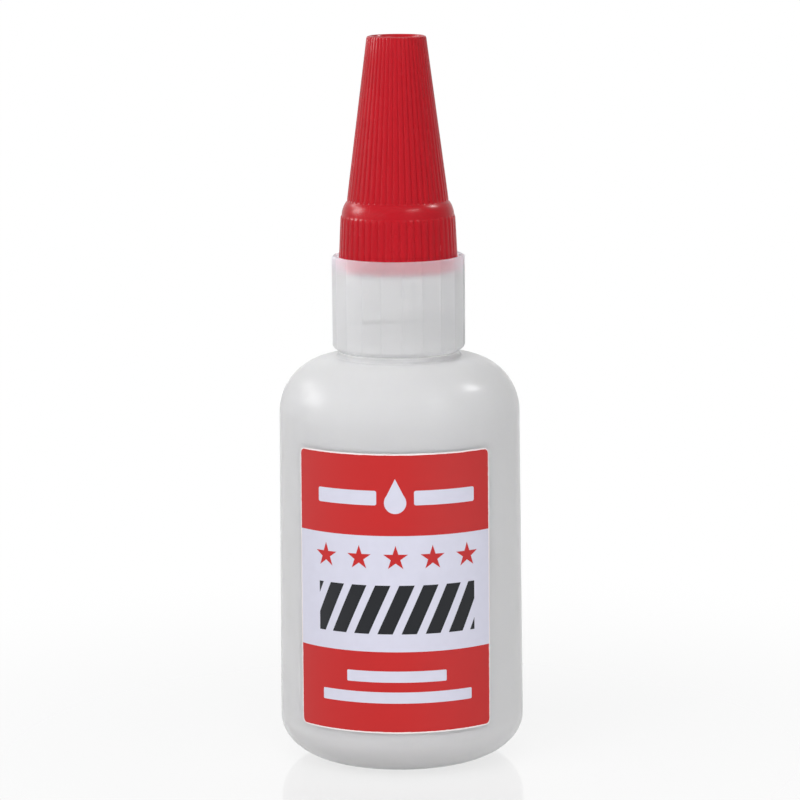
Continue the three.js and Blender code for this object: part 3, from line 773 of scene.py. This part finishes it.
def cap_profile():
    """The cap's section from the middle of its dished top, down the outside and up the inside."""
    cone_start = CAP_BAND_TOP + CAP_STEP_HEIGHT
    sweep = math.radians(CAP_STEP_SWEEP)
    step_foot = CAP_BAND_TOP_RADIUS - RIB_RISE
    half_width = (step_foot - CAP_CONE_RADIUS) / (1 - math.cos(sweep))
    half_height = CAP_STEP_HEIGHT / math.sin(sweep)
    step = arc(step_foot - half_width, CAP_BAND_TOP, half_width, half_height, CAP_STEP_SWEEP, 0, 18)
    dish_floor = CAP_TOP - CAP_DISH_DEPTH
    outside = [
        (0, dish_floor), (CAP_DISH_RADIUS - 0.65, dish_floor), (CAP_DISH_RADIUS - 0.30, dish_floor + 0.12),
        (CAP_DISH_RADIUS - 0.10, CAP_TOP - 0.1), (CAP_DISH_RADIUS, CAP_TOP),
        (CAP_TOP_RADIUS - 0.37, CAP_TOP, 0.03), (CAP_TOP_RADIUS - 0.1, CAP_TOP - 0.12, 0.08),
    ]
    cone_top = CAP_TOP - CAP_TOP_EDGE
    for k in range(8):
        t = k / 8
        radius = CAP_TOP_RADIUS + (CAP_CONE_RADIUS - CAP_TOP_RADIUS) * t
        height = cone_top + (cone_start + RIB_CONE_END - cone_top) * t
        outside.append((radius, height, CAP_RIB_DEPTH * radius / CAP_CONE_RADIUS))
    outside += [
        (CAP_CONE_RADIUS, cone_start + 0.22, CAP_RIB_DEPTH), (CAP_CONE_RADIUS, cone_start + 0.10, 0.12),
        *[(r, z) for r, z in step if z > CAP_BAND_TOP + RIB_LEDGE],
        (CAP_BAND_TOP_RADIUS - RIB_RISE, CAP_BAND_TOP + 0.42, 0.02),
        (CAP_BAND_TOP_RADIUS - 0.09, CAP_BAND_TOP + 0.32, 0.08),
        (CAP_BAND_TOP_RADIUS - 0.04, CAP_BAND_TOP + 0.15, 0.13),
        (CAP_BAND_TOP_RADIUS - 0.012, CAP_BAND_TOP - 0.05, 0.16),
        (CAP_BAND_TOP_RADIUS, CAP_BAND_TOP - 0.3, CAP_RIB_DEPTH),
    ]
    for k in range(1, 6):
        t = k / 5
        outside.append((
            CAP_BAND_TOP_RADIUS + (CAP_FOOT_RADIUS - CAP_BAND_TOP_RADIUS) * t,
            CAP_BAND_TOP + (CAP_FOOT + 0.2 - CAP_BAND_TOP) * t, CAP_RIB_DEPTH))
    outside += [(CAP_FOOT_RADIUS - 0.15, CAP_FOOT, CAP_RIB_DEPTH * 0.6)]
    inner = [
        (POCKET_RADIUS + 0.1, CAP_FOOT), (POCKET_RADIUS, CAP_FOOT + 0.15),
        (POCKET_RADIUS - 0.3, CAP_BAND_TOP - 1.15), (POCKET_RADIUS - 0.45, CAP_BAND_TOP - CAP_WALL),
        (SLEEVE_OUTER_RADIUS + 0.1, CAP_BAND_TOP - CAP_WALL),
        (SLEEVE_OUTER_RADIUS, CAP_BAND_TOP - 1.15), (SLEEVE_OUTER_RADIUS, CAP_FOOT + 0.65),
        (SLEEVE_OUTER_RADIUS - 0.15, CAP_FOOT + 0.5), (SLEEVE_RADIUS + 0.25, CAP_FOOT + 0.5),
        (SLEEVE_RADIUS, CAP_FOOT + 0.75), (SLEEVE_RADIUS, CAP_BAND_TOP),
        (CAP_CONE_RADIUS - 1.22, cone_start), (CAP_TOP_RADIUS - 1.22, ROOF_UNDERSIDE - 0.2),
        (CAP_TOP_RADIUS - 1.42, ROOF_UNDERSIDE), (NEEDLE_BOSS_RADIUS + 0.15, ROOF_UNDERSIDE),
        (NEEDLE_BOSS_RADIUS, ROOF_UNDERSIDE - 0.15), (NEEDLE_BOSS_RADIUS - 0.1, NEEDLE_BOSS_FOOT + 0.12),
        (NEEDLE_BOSS_RADIUS - 0.22, NEEDLE_BOSS_FOOT), (NEEDLE_HOLE_RADIUS, NEEDLE_BOSS_FOOT),
        (NEEDLE_HOLE_RADIUS, NEEDLE_HOLE_TOP), (0, NEEDLE_HOLE_TOP),
    ]
    return outside + inner


rib_stations = [
    (2 * math.pi * (rib + along) / CAP_RIBS, cut) for rib in range(CAP_RIBS) for along, cut in RIB_SECTION]
cap = turned("cap", cap_profile(), rib_stations, sharp_degrees=38)
cap_thread = helix(
    "cap_thread", SLEEVE_RADIUS, height=-0.25, start=76.4, pitch=CAP_THREAD_PITCH, turns=1.5,
    half_width=0.6, from_turn=0.35)
cap_plastic = moulded_material(
    "Red polypropylene",
    {
        "Colour": (0.482, 0.010, 0.019, 1), "Shade": (0.405, 0.007, 0.014, 1), "Cloud scale": 160.0,
        "Streak scale": 700.0, "Grain scale": 2600.0, "Roughness": 0.26, "Roughness spread": 0.16,
    },
    relief=0.00002,
    Subsurface_Weight=0.12, Subsurface_Scale=0.0006, Subsurface_Radius=(1.0, 0.1, 0.1),
    Specular_IOR_Level=0.11,
)
for made in (cap, cap_thread):
    made.data.materials.append(cap_plastic)
    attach(made, "cap")
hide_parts("cap_shell")

# Needle
# A length of drawn steel wire with a blunt ground point, pressed in the boss under the cap's roof.
# It hangs in the spout's hole and keeps it from clogging.
NEEDLE_RADIUS = 0.4
NEEDLE_HEAD = 108.95
NEEDLE_END = 97.0

needle_profile = [
    (0, NEEDLE_END), (0.12, NEEDLE_END + 0.03), (0.19, NEEDLE_END + 0.12),
    (NEEDLE_RADIUS - 0.02, NEEDLE_END + 1.15), (NEEDLE_RADIUS, NEEDLE_END + 1.3),
    (NEEDLE_RADIUS, NEEDLE_HEAD - 0.08), (NEEDLE_RADIUS - 0.08, NEEDLE_HEAD), (0, NEEDLE_HEAD),
]
needle = turned("needle", needle_profile, even_stations(40))


def wire_material():
    """Drawn steel: bright, with fine scratches along the wire and duller patches."""
    made, tree, shader = new_material("Drawn steel")
    place = put(tree, "ShaderNodeTexCoord", {}).outputs["Object"]
    drawn = put(tree, "ShaderNodeMapping", {"Vector": place, "Scale": (1.0, 1.0, 0.03)}).outputs[0]
    lines = noise(tree, drawn, 9000.0, 3.0)
    patches = noise(tree, place, 900.0, 2.0)
    steel = between(tree, patches, (0.52, 0.53, 0.54, 1), (0.68, 0.69, 0.70, 1))
    tree.links.new(steel, shader.inputs["Base Color"])
    tree.links.new(calc(tree, "MULTIPLY_ADD", lines, 0.25, 0.15), shader.inputs["Roughness"])
    bump = put(tree, "ShaderNodeBump", {"Height": lines, "Distance": 0.00001, "Strength": 0.6})
    tree.links.new(bump.outputs[0], shader.inputs["Normal"])
    shader.inputs["Metallic"].default_value = 1.0
    return made


needle.data.materials.append(wire_material())
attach(needle, "needle")
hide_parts("cap_needle")

# Studio
# A white table with a faint sheen that runs out to white. Five lamps light the surfaces and five boxes show
# as highlights only. The camera stands a little right of the label's middle and looks down a little.
FLOOR_HALF = 6.0
FLOOR_GREY = (0.65, 0.65, 0.65, 1)
FLOOR_LIT_SHARE = 0.15
AMBIENT = 0.20
CAMERA_DISTANCE = 0.560
CAMERA_HEIGHT = 0.1446
CAMERA_AZIMUTH = math.radians(4.0)
CAMERA_PITCH = math.radians(9.09)
CAMERA_ROLL = math.radians(-0.50)
CAMERA_YAW = math.radians(-0.008)
CAMERA_LENS = 167.3


def white_floor():
    """One square face on the ground, much larger than the view."""
    bm = bmesh.new()
    bm.faces.new([bm.verts.new((x * FLOOR_HALF, y * FLOOR_HALF, 0)) for x, y in (
        (-1, -1), (1, -1), (1, 1), (-1, 1))])
    return build_object("floor", bm)


floor = white_floor()


def floor_material():
    """White table: lit and shadowed near the object, plain white further out, with a faint reflection."""
    made = bpy.data.materials.new("White table")
    made.use_nodes = True
    tree = made.node_tree
    tree.nodes.clear()
    place = put(tree, "ShaderNodeTexCoord", {}).outputs["Object"]
    reach = put(tree, "ShaderNodeVectorMath", {0: place}, operation="LENGTH").outputs["Value"]

    def fade(start, end, inner, outer):
        return put(tree, "ShaderNodeMapRange", {
            "Value": reach, "From Min": start, "From Max": end, "To Min": inner, "To Max": outer},
            interpolation_type="SMOOTHSTEP").outputs[0]

    near = fade(0.03, 0.14, FLOOR_LIT_SHARE, 0.0)
    sheen = fade(0.02, 0.036, 0.12, 0.19)
    lit = put(tree, "ShaderNodeBsdfDiffuse", {"Color": FLOOR_GREY}).outputs[0]
    white = put(tree, "ShaderNodeEmission", {"Color": (1, 1, 1, 1), "Strength": 1.0}).outputs[0]
    rays = put(tree, "ShaderNodeLightPath", {}).outputs
    seen = calc(tree, "MAXIMUM", rays["Is Camera Ray"], calc(
        tree, "MAXIMUM", rays["Is Glossy Ray"], rays["Is Transmission Ray"]))
    far = calc(tree, "MULTIPLY", seen, calc(tree, "SUBTRACT", 1.0, near))
    ground = put(tree, "ShaderNodeMixShader", {0: far, 1: lit, 2: white}).outputs[0]
    gloss = put(tree, "ShaderNodeBsdfGlossy", {"Color": (1, 1, 1, 1), "Roughness": 0.04}).outputs[0]
    mirrored = calc(tree, "MULTIPLY", sheen, rays["Is Camera Ray"])
    top = put(tree, "ShaderNodeMixShader", {0: mirrored, 1: ground, 2: gloss}).outputs[0]
    put(tree, "ShaderNodeOutputMaterial", {"Surface": top})
    return made


floor.data.materials.append(floor_material())

world = bpy.data.worlds.new("Studio")
bpy.context.scene.world = world
world.use_nodes = True
sky = world.node_tree
sky.nodes.clear()
sky_rays = put(sky, "ShaderNodeLightPath", {}).outputs
sky_seen = calc(sky, "MAXIMUM", sky_rays["Is Camera Ray"], calc(
    sky, "MAXIMUM", sky_rays["Is Glossy Ray"], sky_rays["Is Transmission Ray"]))
ambient = put(sky, "ShaderNodeBackground", {"Color": (1, 1, 1, 1), "Strength": AMBIENT}).outputs[0]
backdrop = put(sky, "ShaderNodeBackground", {"Color": (1, 1, 1, 1), "Strength": 1.0}).outputs[0]
put(sky, "ShaderNodeOutputWorld", {
    "Surface": put(sky, "ShaderNodeMixShader", {0: sky_seen, 1: ambient, 2: backdrop}).outputs[0]})


def soft_box(name, place, aim, width, height, power, mirrored):
    """A rectangular area lamp facing a point, which either shows as a highlight or lights the surfaces."""
    lamp = bpy.data.lights.new(name, "AREA")
    lamp.shape = "RECTANGLE"
    lamp.size = width
    lamp.size_y = height
    lamp.energy = power
    made = bpy.data.objects.new(name, lamp)
    made.location = place
    made.rotation_euler = (Vector(aim) - Vector(place)).to_track_quat("-Z", "Y").to_euler()
    made.visible_glossy = mirrored
    made.visible_diffuse = not mirrored
    bpy.context.collection.objects.link(made)


soft_box("left_box", (-0.72, 0.06, 0.40), (0, 0, 0.08), 0.32, 0.28, 5.6, mirrored=True)
soft_box("cone_box", (-0.70, -0.20, 0.17), (0, 0, 0.095), 0.60, 0.20, 0.55, mirrored=True)
soft_box("back_box", (-0.60, 0.34, 0.47), (0, 0, 0.06), 0.30, 0.18, 1.4, mirrored=True)
soft_box("right_box", (0.56, 0.18, 0.60), (0, 0, 0.06), 0.11, 0.13, 3.4, mirrored=True)
soft_box("top_box", (0.40, -0.42, 0.62), (0, 0, 0.08), 0.30, 0.12, 2.1, mirrored=True)
soft_box("key", (-0.10, -0.55, 0.86), (0, 0, 0.05), 0.7, 0.5, 4.7, mirrored=False)
soft_box("left_fill", (-0.60, -0.54, 0.42), (0, 0, 0.05), 0.7, 0.4, 3.5, mirrored=False)
soft_box("right_fill", (0.52, -0.62, 0.42), (0, 0, 0.05), 0.7, 0.4, 1.3, mirrored=False)
soft_box("back_fill", (0.0, 0.85, 0.40), (0, 0, 0.05), 0.6, 0.5, 2.0, mirrored=False)
soft_box("card", (0.13, -0.10, 0.004), (0, 0, 0.012), 0.20, 0.06, 0.11, mirrored=False)

camera_data = bpy.data.cameras.new("camera")
camera_data.lens = CAMERA_LENS
camera_data.sensor_width = 36.0
camera_data.clip_start = 0.01
camera = bpy.data.objects.new("camera", camera_data)
camera.matrix_world = (
    Matrix.Translation((
        CAMERA_DISTANCE * math.sin(CAMERA_AZIMUTH), -CAMERA_DISTANCE * math.cos(CAMERA_AZIMUTH),
        CAMERA_HEIGHT))
    @ Matrix.Rotation(CAMERA_AZIMUTH + CAMERA_YAW, 4, "Z")
    @ Matrix.Rotation(math.pi / 2 - CAMERA_PITCH, 4, "X")
    @ Matrix.Rotation(CAMERA_ROLL, 4, "Z")
)
bpy.context.collection.objects.link(camera)
bpy.context.scene.camera = camera
bpy.context.scene.view_settings.view_transform = "Standard"
